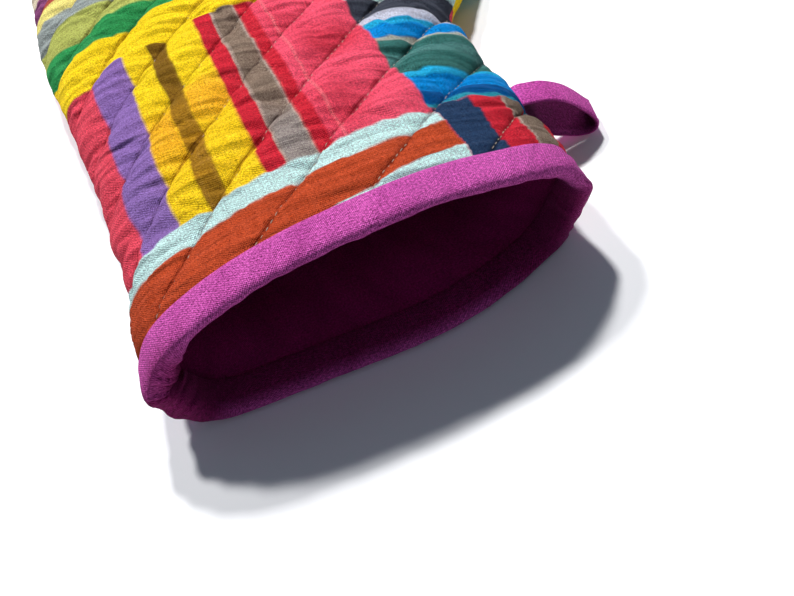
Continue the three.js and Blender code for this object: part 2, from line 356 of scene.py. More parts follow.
def quilted(points, surface, normal, palm):
    """The panel with its channels puffed up, stitch lines pulled in, puckers and gathered seams."""
    u, v = points.T
    distance, inwards, _ = nearest_seam(points)
    distance = np.maximum(distance, 0)
    across = (u - v) / math.sqrt(2) - QUILT_START
    along = (u + v) / math.sqrt(2)
    line = np.abs((across + QUILT / 2) % QUILT - QUILT / 2)
    channel = np.floor(across / QUILT)
    crown = 1 - np.clip(1 - line / (QUILT / 2), 0, 1) ** 4
    groove = np.exp(-((line / 1.3) ** 1.2))
    near_cuff = 1 - smooth(v, 16, 70)
    puff = (1.3 * crown - 1.1 - 0.9 * groove) * (1 - 0.4 * near_cuff)
    # Puckers: folds across each channel, deepest beside the stitches, each starting from a crease.
    bend = 4 * noise(u / 45, v / 45, 5) + 0.10 * u
    beside = np.exp(-line / 6.0)
    patchy = 0.35 + 0.65 * smooth(noise(u / 30, v / 26, 9), -0.5, 0.5)
    fine = noise(u / 24 + 3.3 * channel, (v + bend) / 4.6 + 7 * channel, 1)
    crease = np.abs(noise(u / 30 + 5.1 * channel, (v + 1.4 * bend) / 8.5 + 3 * channel, 2))
    soft = 0.8 * fine * (0.3 + 0.7 * beside)
    sharp = 0.9 * np.exp(-crease / 0.16) * (0.35 + 0.65 * beside)
    puff += patchy * (soft - sharp)
    puff += 0.6 * noise(u / 40 + 5 * channel, (v + bend) / 13 + channel, 8)
    # The stitches nip the cloth every few millimetres.
    puff += 0.22 * np.exp(-line / 2.4) * noise(along / 3.1, channel * 3.3, 3)
    puff += 0.6 * noise(u / 33, v / 29, 4)
    # Gathers along the side seams.
    gather = np.exp(-distance / 9)
    puff += 0.8 * gather * noise(v / 6.5 + 20, distance / 30, 6)
    under_binding = 1 - smooth(v, BINDING_WIDTH - 2.5, BINDING_WIDTH + 5)
    puff = puff * (1 - under_binding) - 1.2 * under_binding
    free = smooth(distance, 0, 6)
    moved = surface + normal * (puff * free)[:, None]
    tucked = 0.9 * np.exp(-distance / 2.0) + 0.6 * under_binding * np.exp(-distance / 6)
    moved[:, :2] += inwards * tucked[:, None]
    if not palm:
        moved[:, 2] = np.maximum(moved[:, 2], 0.25)
    return settle(moved)


def crease(points, quads, held, ease=0.04, frames=22):
    """Cloth simulation of a panel cut a little too long for its place, so that it puckers between its
    stitches. Points are held by their weight, and ease is how much longer the cloth was cut."""
    scene = bpy.context.scene
    scale = 0.1
    mesh = bpy.data.meshes.new("creasing")
    mesh.from_pydata((points * scale).tolist(), [], quads.tolist())
    obj = add_object("creasing", mesh)
    group = obj.vertex_groups.new(name="held")
    levels = np.round(held * 10).astype(int)
    for level in range(1, 11):
        group.add(np.flatnonzero(levels == level).tolist(), level / 10, "REPLACE")
    cloth = obj.modifiers.new("cloth", "CLOTH")
    sheet = cloth.settings
    sheet.vertex_group_mass = "held"
    sheet.pin_stiffness = 1.0
    sheet.shrink_min = -ease
    sheet.quality, sheet.mass, sheet.air_damping = 4, 0.3, 1.0
    sheet.tension_stiffness = sheet.compression_stiffness = 20
    sheet.shear_stiffness, sheet.bending_stiffness = 6.7, 0.35
    sheet.tension_damping = sheet.compression_damping = 1.0
    sheet.bending_damping = 0.1
    sheet.use_pressure, sheet.uniform_pressure_force = True, 0.12
    sheet.effector_weights.gravity = 0
    cloth.collision_settings.use_collision = False
    cloth.collision_settings.use_self_collision = False
    cloth.point_cache.frame_start, cloth.point_cache.frame_end = 1, frames
    for frame_number in range(1, frames + 1):
        scene.frame_set(frame_number)
    shown = obj.evaluated_get(bpy.context.evaluated_depsgraph_get()).to_mesh()
    moved = np.empty(len(points) * 3)
    shown.vertices.foreach_get("co", moved)
    bpy.data.objects.remove(obj)
    scene.frame_set(1)
    return moved.reshape(-1, 3) / scale


def on_thumb(points):
    """Whether flat points lie past the thumb's neck."""
    beyond = (points - NECK.mean(axis=0)) @ neck_out > 0
    past_crotch = points[:, 1] - NECK[0, 1]
    above = (past_crotch > 0) & (points[:, 0] < NECK[0, 0] + 0.3 * past_crotch)
    return beyond & ~above & (points[:, 1] > NECK[1, 1] - 6)


def split_thumb(points, quads):
    """(quads of the hand and fingers, quads of the thumb)."""
    thumb = on_thumb(points[quads].mean(axis=1))
    return quads[~thumb], quads[thumb]


def part_of(name, points, quads, uv, normals):
    used, inverse = np.unique(quads, return_inverse=True)
    return new_mesh(name, points[used], inverse.reshape(-1, 4), uv[used], normals[used])


def bend_fingers(obj):
    """Bakes the piece's placement into its mesh."""
    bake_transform(obj)


def bend_thumb(obj):
    """Bakes the piece's placement into its mesh."""
    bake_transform(obj)


# ---------------------------------------------------------------- materials


class Shader:
    """A node material under construction; math on sockets or numbers, in millimetres of cloth."""

    def __init__(self, name, slot_colour):
        self.material = bpy.data.materials.new(name)
        self.material.use_nodes = True
        self.material.diffuse_color = (*slot_colour, 1)
        self.tree = self.material.node_tree
        self.bsdf = self.tree.nodes["Principled BSDF"]
        place_of = self.node("ShaderNodeUVMap", uv_map="cloth")
        parts = self.node("ShaderNodeSeparateXYZ", Vector=place_of.outputs["UV"])
        self.u = self.mul(parts.outputs["X"], 1000)
        self.v = self.mul(parts.outputs["Y"], 1000)

    def node(self, kind, **settings):
        made = self.tree.nodes.new(kind)
        for key, value in settings.items():
            if key in made.inputs:
                self.feed(made.inputs[key], value)
            else:
                setattr(made, key, value)
        return made

    def feed(self, socket, value):
        if isinstance(value, bpy.types.NodeSocket):
            self.tree.links.new(value, socket)
        else:
            socket.default_value = value

    def math(self, operation, a, b=0.0, clamp=False):
        made = self.node("ShaderNodeMath", operation=operation, use_clamp=clamp)
        self.feed(made.inputs[0], a)
        self.feed(made.inputs[1], b)
        return made.outputs[0]

    def mul(self, a, b, clamp=False):
        return self.math("MULTIPLY", a, b, clamp)

    def plus(self, a, b, clamp=False):
        return self.math("ADD", a, b, clamp)

    def minus(self, a, b, clamp=False):
        return self.math("SUBTRACT", a, b, clamp)

    def mix(self, factor, a, b, blend="MIX"):
        made = self.node("ShaderNodeMix", data_type="RGBA", blend_type=blend)
        self.feed(made.inputs[0], factor)
        for socket, value in ((made.inputs[6], a), (made.inputs[7], b)):
            self.feed(socket, value if isinstance(value, bpy.types.NodeSocket) else (*value, 1))
        return made.outputs[2]

    def noise(self, x, y, detail=2.0, roughness=0.5):
        """0 to 1 noise at a point given in features."""
        at = self.node("ShaderNodeCombineXYZ", X=x, Y=y)
        made = self.node("ShaderNodeTexNoise", Vector=at.outputs[0], Scale=1.0, Detail=detail,
                         Roughness=roughness)
        return made.outputs["Fac"]

    def cloth_noise(self, across, along, detail=2.0, roughness=0.5):
        """Noise laid on the cloth, with so many features per millimetre across and along."""
        return self.noise(self.mul(self.u, across), self.mul(self.v, along), detail, roughness)

    def between(self, value, low, high, soft=0.5):
        """1 where low < value < high, with soft edges."""
        rise = self.math("DIVIDE", self.minus(value, low - soft), 2 * soft, clamp=True)
        fall = self.math("DIVIDE", self.minus(high + soft, value), 2 * soft, clamp=True)
        return self.mul(rise, fall)

    def stripes(self, value, stripes, end, soft=0.45):
        """Colour of stripes given as (start, colour), the last one reaching to end."""
        low = stripes[0][0]
        ramp = self.node("ShaderNodeValToRGB", Fac=self.math("DIVIDE", self.minus(value, low), end - low))
        stops = ramp.color_ramp.elements
        stops[0].position, stops[0].color = 0.0, (*stripes[0][1], 1)
        stops.remove(stops[1])
        for (start, colour), (_, before) in zip(stripes[1:], stripes):
            for shift, tint in ((-soft, before), (soft, colour)):
                stops.new((start + shift - low) / (end - low)).color = (*tint, 1)
        return ramp.outputs["Color"]

    def creases(self):
        """Height of the fine creases that run across the quilting, in patches."""
        bend = self.mul(self.cloth_noise(0.022, 0.022), 9.0)
        bend = self.plus(bend, self.mul(self.u, 0.1))
        bent = self.plus(self.v, bend)
        patches = self.cloth_noise(0.035, 0.04, 1)
        patches = self.mul(self.minus(patches, 0.38, clamp=True), 4.0, clamp=True)
        fine = self.noise(self.mul(self.u, 0.045), self.mul(bent, 0.27), 0.6, 0.4)
        return self.mul(fine, self.plus(0.75, patches))

    def weave(self, colour, strength, thread=0.75, contrast=0.2, relief=None):
        """Plain weave: threads over and under, slubs and a fine grain, as colour and bump."""
        turn = 2 * math.pi / thread
        wobble = self.cloth_noise(0.12, 0.12)
        warp = self.math("SINE", self.mul(self.plus(self.u, wobble), turn))
        weft = self.math("SINE", self.mul(self.plus(self.v, wobble), turn))
        cross = self.mul(warp, weft)
        slub_u = self.cloth_noise(0.3, 2.2, 2)
        slub_v = self.cloth_noise(2.2, 0.3, 2)
        grain = self.cloth_noise(1.5, 1.5, 3, 0.8)
        light = self.plus(self.mul(cross, 0.14), self.mul(grain, 1.6))
        light = self.plus(light, self.mul(self.plus(slub_u, slub_v), 0.3))
        light = self.plus(self.mul(self.minus(light, 1.1), contrast * 2.6), 1.0)
        tint = self.node("ShaderNodeCombineXYZ", X=light, Y=self.math("POWER", light, 1.2),
                         Z=self.math("POWER", light, 1.1))
        colour = self.mix(1.0, colour, tint.outputs[0], blend="MULTIPLY")
        height = self.plus(self.mul(cross, 0.6), self.mul(grain, 2.4))
        if relief:
            height = self.plus(height, self.mul(relief, 12.5))
        bump = self.node("ShaderNodeBump", Strength=strength, Distance=0.00022, Height=height)
        self.feed(self.bsdf.inputs["Normal"], bump.outputs["Normal"])
        return colour

    def finish(self, colour, roughness, sheen=0.02):
        self.feed(self.bsdf.inputs["Base Color"], colour)
        for name, value in (("Roughness", roughness), ("Specular IOR Level", 0.04), ("Sheen Weight", sheen),
                            ("Sheen Roughness", 0.5), ("Sheen Tint", (1, 1, 1, 1))):
            self.bsdf.inputs[name].default_value = value
        return self.material


CRIMSON, PURPLE, YELLOW = (0.68, 0.062, 0.098), (0.24, 0.13, 0.38), (0.85, 0.58, 0.012)
ORANGE, BROWN, RED = (0.75, 0.34, 0.008), (0.20, 0.100, 0.010), (0.55, 0.018, 0.035)
TAUPE, PINK, RUST = (0.22, 0.155, 0.115), (0.80, 0.080, 0.14), (0.48, 0.066, 0.022)
AQUA, GREEN, OLIVE = (0.50, 0.70, 0.68), (0.025, 0.25, 0.07), (0.40, 0.42, 0.10)
SLATE, PALE_YELLOW, BRICK = (0.28, 0.31, 0.30), (0.78, 0.66, 0.20), (0.36, 0.06, 0.045)
PLUM, CREAM, NAVY = (0.22, 0.06, 0.16), (0.62, 0.52, 0.38), (0.018, 0.042, 0.10)
BRIGHT_BLUE, DEEP_BLUE, TEAL = (0.0, 0.22, 0.60), (0.0, 0.075, 0.26), (0.02, 0.26, 0.34)
DARK_GREEN, BEIGE, LAVENDER = (0.035, 0.14, 0.125), (0.42, 0.42, 0.36), (0.50, 0.50, 0.60)
CHARCOAL, PALE_LINE, CYAN = (0.045, 0.05, 0.07), (0.42, 0.32, 0.27), (0.015, 0.36, 0.62)
LIGHT_GREEN = (0.07, 0.20, 0.185)

# Stripes of the print as (where one starts, its colour), in millimetres across or along the mitt.
ACROSS_MIDDLE = [(-100, CRIMSON), (-59, PURPLE), (-44.5, YELLOW), (-34.2, BROWN), (-27.2, YELLOW),
                 (-14.3, RED), (-7.6, PALE_LINE), (-7.0, TAUPE), (1.6, PALE_LINE), (2.2, RED), (7.6, PINK)]
ALONG_FAR = [(158, YELLOW), (181, GREEN), (197, OLIVE), (215, SLATE), (233, PALE_YELLOW), (243, BRICK),
             (249, PLUM), (262, CREAM), (278, RUST), (292, YELLOW), (306, TEAL), (320, PINK)]
ALONG_RIGHT = [(44, TEAL), (47.5, DEEP_BLUE), (54, BRIGHT_BLUE), (63.5, CYAN), (67.5, DARK_GREEN),
               (78, LIGHT_GREEN), (86, DARK_GREEN), (92.5, BEIGE), (95.5, BRIGHT_BLUE), (103.5, CYAN),
               (107, LAVENDER), (113, CHARCOAL), (128, AQUA)]
ACROSS_RIGHT = [(39, NAVY), (52, RED), (63.5, PALE_LINE), (64.5, TAUPE), (74, RED), (84, NAVY)]
ACROSS_THUMB = [(30, GREEN), (48, YELLOW), (58, PURPLE), (72, PINK), (88, TAUPE), (97, ORANGE), (112, NAVY),
                (124, AQUA)]
ACROSS_FAR = [(-100, TEAL), (-60, PINK), (-42, BEIGE), (-36, RUST), (-12, AQUA), (-4, PLUM), (18, YELLOW),
              (38, BROWN)]
# Crimson strokes over the pink, as (from and to across, from and to along, strength).
PINK_STROKES = [((15, 37), (96, 116), 1.0), ((7.6, 22), (46, 76), 0.75), ((8, 21), (122, 141), 0.6)]


def print_material(name, flip=False):
    """Cotton printed with blocks of painted stripes. The back panel carries the same print shifted."""
    s = Shader(name, CRIMSON)
    wander = s.cloth_noise(0.07, 0.07, 3)
    shake = s.mul(s.minus(wander, 0.5), 1.8)
    shake_v = s.mul(s.minus(s.noise(s.mul(s.v, 0.09), s.mul(s.u, 0.05), 3), 0.5), 1.1)
    u = s.plus(s.u, shake)
    v = s.plus(s.v, shake_v)
    if flip:
        u = s.mul(u, -1.0)
        v = s.plus(v, 31.0)
    # Brush streaks along the stripes, each way.
    along_v = s.cloth_noise(0.45, 0.035, 3, 0.6)
    along_u = s.cloth_noise(0.03, 0.5, 3, 0.6)
    middle = s.stripes(u, ACROSS_MIDDLE, 60)
    # The yellow turns to orange towards the cuff, in soft bands across.
    right_of_brown = s.mul(s.between(u, -27.2, -14.3, 0.8), s.between(v, 93, 113, 5))
    left_of_brown = s.mul(s.between(u, -44.5, -34.2, 0.8), s.between(v, 76, 108, 7))
    middle = s.mix(s.mul(s.plus(right_of_brown, left_of_brown), 0.8), middle, (0.80, 0.36, 0.02))
    warm = s.mul(s.between(u, -44.5, -14.3, 1.0), s.between(v, 40, 108, 22))
    warm = s.mul(warm, s.mul(s.cloth_noise(0.02, 0.16, 2), 1.1))
    middle = s.mix(s.mul(warm, 0.75, clamp=True), middle, s.mix(0.6, middle, ORANGE))
    # The pink has crimson strokes over it, and the taupe greys towards the cuff.
    for across, down, amount in PINK_STROKES:
        stroke = s.mul(s.between(u, *across, 4.5), s.between(v, *down, 7))
        stroke = s.mul(stroke, s.plus(s.mul(along_u, 1.2), 0.3))
        stroke = s.mul(stroke, s.between(u, 7.6, 60, 0.6))
        middle = s.mix(s.mul(stroke, amount, clamp=True), middle, (0.56, 0.032, 0.060))
    grey = s.mul(s.between(u, -7.0, 1.6, 0.5), s.between(v, 30, 72, 12))
    middle = s.mix(s.mul(grey, 0.7), middle, (0.30, 0.26, 0.25))
    # A thin lighter line down the pink.
    middle = s.mix(s.mul(s.between(u, 11.5, 12.3, 0.5), 0.45), middle, (0.85, 0.25, 0.26))
    colour = s.mix(s.between(v, 158.5, 400), middle, s.stripes(v, ALONG_FAR, 335))
    for across, along, way, stripes, end in (
        ((-8, 300), (196, 400), u, ACROSS_FAR, 90),
        ((38.2, 300), (45.5, 133), v, ALONG_RIGHT, 135),
        ((38.2, 300), (133, 300), u, ACROSS_THUMB, 140),
        ((39.2, 300), (-90, 45.5), u, ACROSS_RIGHT, 100),
    ):
        inside = s.mul(s.between(u, *across), s.between(v, *along))
        colour = s.mix(inside, colour, s.stripes(way, stripes, end))
    # The cuff's own bands, printed a little askew.
    low = s.minus(v, s.mul(s.math("MAXIMUM", s.plus(u, 6.0), 0.0), 0.13))
    cuff = s.stripes(v, [(-80, ORANGE), (-40, RUST), (33.6, AQUA)], 60)
    burnt = s.mul(s.between(v, 15, 33, 3), s.minus(along_v, 0.42, clamp=True))
    cuff = s.mix(s.mul(burnt, 2.6, clamp=True), cuff, (0.34, 0.035, 0.006))
    cuff = s.mix(s.between(low, -60, 13.2, 0.4), cuff, AQUA)
    colour = s.mix(s.mul(s.between(u, -200, 39.2), s.between(v, -60, 43.4)), colour, cuff)
    # A broken brown line along the lower end of the yellow.
    dashes = s.math("GREATER_THAN", s.math("SINE", s.mul(s.u, 2 * math.pi / 1.9)), -0.2)
    dashes = s.mul(dashes, s.mul(s.between(u, -44, -36, 0.3), s.between(v, 46.4, 46.9, 0.3)))
    colour = s.mix(s.mul(dashes, 0.75), colour, (0.28, 0.10, 0.01))
    # Streaks: lighter and darker strokes, and paint that thins out.
    strokes = s.plus(s.mul(along_v, 0.5), s.mul(along_u, 0.5))
    lift = s.mul(s.minus(strokes, 0.5, clamp=True), 2.4, clamp=True)
    brighter = s.mix(1.0, colour, (1.35, 1.4, 1.5), blend="MULTIPLY")
    colour = s.mix(s.mul(lift, 0.6), colour, s.mix(0.06, brighter, (0.95, 0.85, 0.78)))
    dark = s.mul(s.minus(0.46, strokes, clamp=True), 3.2, clamp=True)
    colour = s.mix(s.mul(dark, 0.36), colour, s.mix(0.65, colour, (0.04, 0.02, 0.02)))
    # Painted shade along the stitched lines, darkening the cloth in the grooves.
    across = s.minus(s.mul(s.minus(s.u, s.v), 1 / math.sqrt(2)), QUILT_START)
    groove_shade = s.minus(1.0, s.math("DIVIDE", s.math("PINGPONG", across, QUILT / 2), 1.3), clamp=True)
    colour = s.mix(s.mul(groove_shade, 0.75), colour, s.mix(1.0, colour, (0.30, 0.22, 0.24), blend="MULTIPLY"))
    colour = s.weave(colour, 1.0, contrast=0.62, relief=s.creases())
    return s.finish(colour, 0.9, 0.01)


def plain_material(name, colour, dark, thread=0.6, contrast=0.5, strength=0.7, inner=None, painted_shade=None,
                   lit_stretches=(), shaded_stretches=()):
    """Shot cotton: one colour lengthways, a darker one across. Beyond inner, across, painted shade darkens
    it by the multiplier given, less on the lit stretches, given as (start and end lengthways, how much of
    the painted shade they lose), and from nearer the edge on the shaded stretches: (start and end
    lengthways, where across)."""
    s = Shader(name, colour)
    turn = 2 * math.pi / thread
    over = s.math("SINE", s.mul(s.plus(s.u, s.v), turn))
    over = s.plus(s.mul(over, 0.5), 0.5)
    speck = s.cloth_noise(1.5, 1.5, 3, 0.7)
    two_tone = s.mul(s.plus(s.mul(over, 0.4), speck), 0.75, clamp=True)
    shade = s.mix(two_tone, dark, colour)
    broad = s.noise(s.mul(s.plus(s.u, s.mul(s.v, 0.3)), 0.12), s.mul(s.v, 0.03), 2)
    broad = s.mul(s.minus(broad, 0.32, clamp=True), 1.9, clamp=True)
    shade = s.mix(s.mul(broad, 0.5), shade, dark)
    if inner:
        # Painted shade: past inner, across, the colour is multiplied darker to stand in for shade on the
        # inner side.
        painted_shade_colour = s.mix(1.0, shade, painted_shade, blend="MULTIPLY")
        amount = s.between(s.v, inner, 900, 3.5)
        # Painted shade is lessened on these stretches, which face the light.
        for where, shade_lifted in lit_stretches:
            amount = s.mul(amount, s.minus(1.0, s.mul(s.between(s.u, *where, 9), shade_lifted)))
        # Painted shade: on these stretches, at the mouth's ends, the darkening starts nearer the edge and
        # covers part of the outer flap too.
        for where, start in shaded_stretches:
            shaded_stretch = s.mul(s.between(s.u, *where, 9), s.between(s.v, start, 900, 6))
            amount = s.math("MAXIMUM", amount, shaded_stretch)
        shade = s.mix(amount, shade, painted_shade_colour)
    shade = s.weave(shade, strength, thread, contrast)
    return s.finish(shade, 0.9)


def thread_material():
    s = Shader("quilting_thread", (0.5, 0.48, 0.45))
    twist = s.math("SINE", s.mul(s.plus(s.u, s.v), 14.0))
    twist = s.plus(s.mul(twist, 0.2), 0.6)
    return s.finish(s.mix(twist, (0.18, 0.14, 0.11), (0.52, 0.44, 0.35)), 0.7)


PRINT = print_material("printed_cotton")
PRINT_BACK = print_material("printed_cotton_back", flip=True)
# The binding carries painted shade on the strip past its rim, more of it at both ends of the mouth and a
# little less on stretches there that face the light.
BINDING = plain_material(
    "binding_cotton", (0.95, 0.185, 0.66), (0.28, 0.015, 0.17), thread=0.75, contrast=0.8, strength=1.0,
    inner=16.5, painted_shade=(0.38, 0.14, 0.25), lit_stretches=(((-30, 12), 0.12), ((145, 190), 0.25)),
    shaded_stretches=(((287, 400), 7), ((-30, 6), 9), ((-30, 24), 11.5), ((158, 220), 10)))
# The loop's inner face carries painted shade.
RIBBON = plain_material(
    "loop_cotton", (0.90, 0.16, 0.60), (0.30, 0.015, 0.19), contrast=0.7, strength=0.9,
    inner=13, painted_shade=(0.16, 0.07, 0.14))
LINING = plain_material("lining_cotton", (0.52, 0.022, 0.22), (0.11, 0.004, 0.04))
THREAD = thread_material()


def dress(obj, material):
    obj.data.materials.append(material)


# ---------------------------------------------------------------- quilted shell and its stitches

ROW_OFFSETS = np.array([0, 0.45, 1.0, 1.8, 2.8, 4.0, 5.3, 6.7, 8.2, 9.7, 11.2, 12.7])
ROW_OFFSETS = np.concatenate([ROW_OFFSETS, QUILT - ROW_OFFSETS[-2:0:-1]])
STITCH_PITCH = 2.9


def stitches(name, lines, normal_of):
    """Short thread lengths sunk into the cloth along each line of points."""
    ring = 5
    points, faces, uv = [], [], []
    turn = np.arange(ring) * 2 * math.pi / ring
    profile_of = [(-0.9, 0.05), (-0.55, 0.14), (0, 0.18), (0.55, 0.14), (0.9, 0.05)]
    for way, normals in zip(lines, normal_of):
        run = run_along(way)
        at_run = lambda values, s: np.array([np.interp(s, run, values[:, k]) for k in range(3)])
        for s in np.arange(2.0, run[-1] - 2.0, STITCH_PITCH):
            at = at_run(way, s)
            ahead = at_run(way, s + 1) - at
            ahead /= np.linalg.norm(ahead)
            up = at_run(normals, s)
            side = np.cross(ahead, up)
            side /= np.linalg.norm(side)
            up = np.cross(side, ahead)
            first = len(points)
            for offset, radius in profile_of:
                lift = 0.08 - 0.18 * (offset / 0.9) ** 2
                for a in turn:
                    rise = up * (lift + radius * math.sin(a))
                    points.append(at + ahead * offset + rise + side * radius * math.cos(a))
                    uv.append((s + offset, a))
            for r in range(len(profile_of) - 1):
                for i in range(ring):
                    j = (i + 1) % ring
                    row = first + r * ring
                    faces.append((row + i, row + j, row + ring + j, row + ring + i))
    if not points:
        return None
    return new_mesh(name, np.array(points), faces, np.array(uv))


def outer_panel(palm):
    side = "palm" if palm else "back"
    flat, quads, on_line, row = quilt_grid(1.35, ROW_OFFSETS)
    base = cloth_surface(flat, palm)
    if not palm:
        quads = quads[:, ::-1]
    quads, normal = facing_out(base, quads, palm)
    shaped = quilted(flat, base, normal, palm)
    distance, _, _ = nearest_seam(flat)
    line = (flat[:, 0] - flat[:, 1]) / math.sqrt(2) - QUILT_START
    line = np.abs((line + QUILT / 2) % QUILT - QUILT / 2)
    held = np.maximum(np.exp(-((line / 0.8) ** 2)), np.exp(-((np.maximum(distance, 0) / 1.6) ** 2)))
    held = np.maximum(held, 1 - smooth(flat[:, 1], BINDING_WIDTH, BINDING_WIDTH + 3))
    held = np.maximum(held, 0.8 * (1 - smooth(flat[:, 1], BINDING_WIDTH, 66)))
    shaped = crease(shaped, quads, held)
    shaped[:, 2] = np.maximum(shaped[:, 2], 0.25)
    shading = vertex_normals(shaped, quads)
    body, thumb = split_thumb(flat, quads)
    material = PRINT if palm else PRINT_BACK
    layers = ("outer", "batting", "insulation")
    hand_piece = part_of(f"quilted_{side}", shaped, body, flat, shading)
    thumb_piece = part_of(f"quilted_{side}_thumb", shaped, thumb, flat, shading)
    for piece in (hand_piece, thumb_piece):
        dress(piece, material)
    places = ("hand", "fingers")
    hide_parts(*[f"{layer}_{side}_{place}" for layer in layers for place in places])
    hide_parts(*[f"{layer}_{side}_thumb" for layer in layers])
    bend_fingers(hand_piece)
    bend_thumb(thumb_piece)
    sew(side, flat, shaped, shading, on_line, row)
    return shaped


def sew(side, flat, shaped, shading, on_line, row):
    """Stitches along the quilting lines of a panel, those of the thumb as a piece of their own."""
    distance, _, _ = nearest_seam(flat)
    thumb = on_thumb(flat)
    inside = on_line & (distance > 2.5) & (flat[:, 1] > BINDING_WIDTH + 0.6)
    for name, keep, bend in (("stitches", ~thumb, bend_fingers), ("thumb_stitches", thumb, bend_thumb)):
        lines, ups = [], []
        for r in np.unique(row[inside & keep]):
            here = np.flatnonzero(inside & keep & (row == r))
            here = here[np.argsort(flat[here].sum(axis=1))]
            gaps = np.flatnonzero(np.diff(flat[here].sum(axis=1)) > 6) + 1
            for run in np.split(here, gaps):
                if len(run) > 4:
                    lines.append(shaped[run])
                    ups.append(shading[run])
        piece = stitches(f"{name}_{side}", lines, ups)
        if piece:
            dress(piece, THREAD)
            bend(piece)


# ---------------------------------------------------------------- lining, binding and loop


def lining_panel(palm):
    side = "palm" if palm else "back"
    flat, quads, _, _ = quilt_grid(3.0, np.array([0, 2.8, 5.6, 8.5, 11.3, 14.1, 16.9, 19.8, 22.6]))
    base = cloth_surface(flat, palm, CLOTH_DEPTH)
    quads, normal = facing_out(base, quads, palm)
    u, v = flat.T
    distance, _, _ = nearest_seam(flat)
    folds = 1.4 * noise(u / 30 + 9, v / 16, 12) + 2.4 * noise((u + 0.25 * v) / 13, v / 46, 13)
    folds *= smooth(distance, 4, 14) * smooth(v, 10, 30)
    nipped = (CLOTH_DEPTH - 2.6) * (1 - smooth(v, BINDING_WIDTH - 3, BINDING_WIDTH + 22))
    shaped = settle(base - normal * (np.maximum(folds + 0.3, -0.2) - nipped)[:, None])
    body, thumb = split_thumb(flat, quads[:, ::-1])
    shading = -vertex_normals(shaped, quads)
    hand_piece = part_of(f"lining_cloth_{side}", shaped, body, flat, shading)
    thumb_piece = part_of(f"lining_cloth_{side}_thumb", shaped, thumb, flat, shading)
    for piece, places in ((hand_piece, ("hand", "fingers")), (thumb_piece, ("thumb",))):
        dress(piece, LINING)
        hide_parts(*[f"lining_{side}_{place}" for place in places])
    bend_fingers(hand_piece)
    bend_thumb(thumb_piece)


def mouth_ring(count):
    """Points and outward normals round the mouth, evenly spaced, as (x, z)."""
    u = np.linspace(-HALF_CLOTH[0], HALF_CLOTH[0], 401)[1:-1]
    flat = np.column_stack([u, np.full(len(u), 7.0)])
    upper = cloth_surface(flat, True)[:, [0, 2]]
    lower = cloth_surface(flat, False)[:, [0, 2]]
    seam = hand_top(7.0) * SEAM_SHARE
    ring = np.vstack([[left_seam(7.0), seam], upper, [right_seam(7.0), seam], lower[::-1]])
    closed = np.vstack([ring, ring[:1]])
    run = run_along(closed)
    s = np.linspace(0, run[-1], count, endpoint=False)
    points = np.column_stack([np.interp(s, run, closed[:, k]) for k in (0, 1)])
    tangent = np.roll(points, -1, axis=0) - np.roll(points, 1, axis=0)
    for _ in range(6):
        tangent = (np.roll(tangent, 1, axis=0) + 2 * tangent + np.roll(tangent, -1, axis=0)) / 4
    normal = np.column_stack([-tangent[:, 1], tangent[:, 0]])
    return points, normal / np.linalg.norm(normal, axis=1)[:, None], s, run[-1]


# How far out from the mouth's ring and how far from the front the strip comes, over its rim.
BINDING_SECTION = [
    (-0.9, 13.3), (-0.35, 13.2), (0.05, 12.7), (0.25, 11.6), (0.3, 9), (0.35, 6), (0.35, 4), (0.2, 2.3),
    (-0.2, 1.1), (-0.9, 0.35), (-1.8, 0.05), (-2.6, 0.3), (-3.2, 0.9), (-3.7, 2.0), (-4.1, 3.6),
    (-4.5, 6.5), (-4.6, 9.5), (-4.5, 11.6), (-4.2, 12.6), (-3.7, 12.9)]
DEEPEST_CREASE = -0.55  # mm, so that the shell under the strip never shows


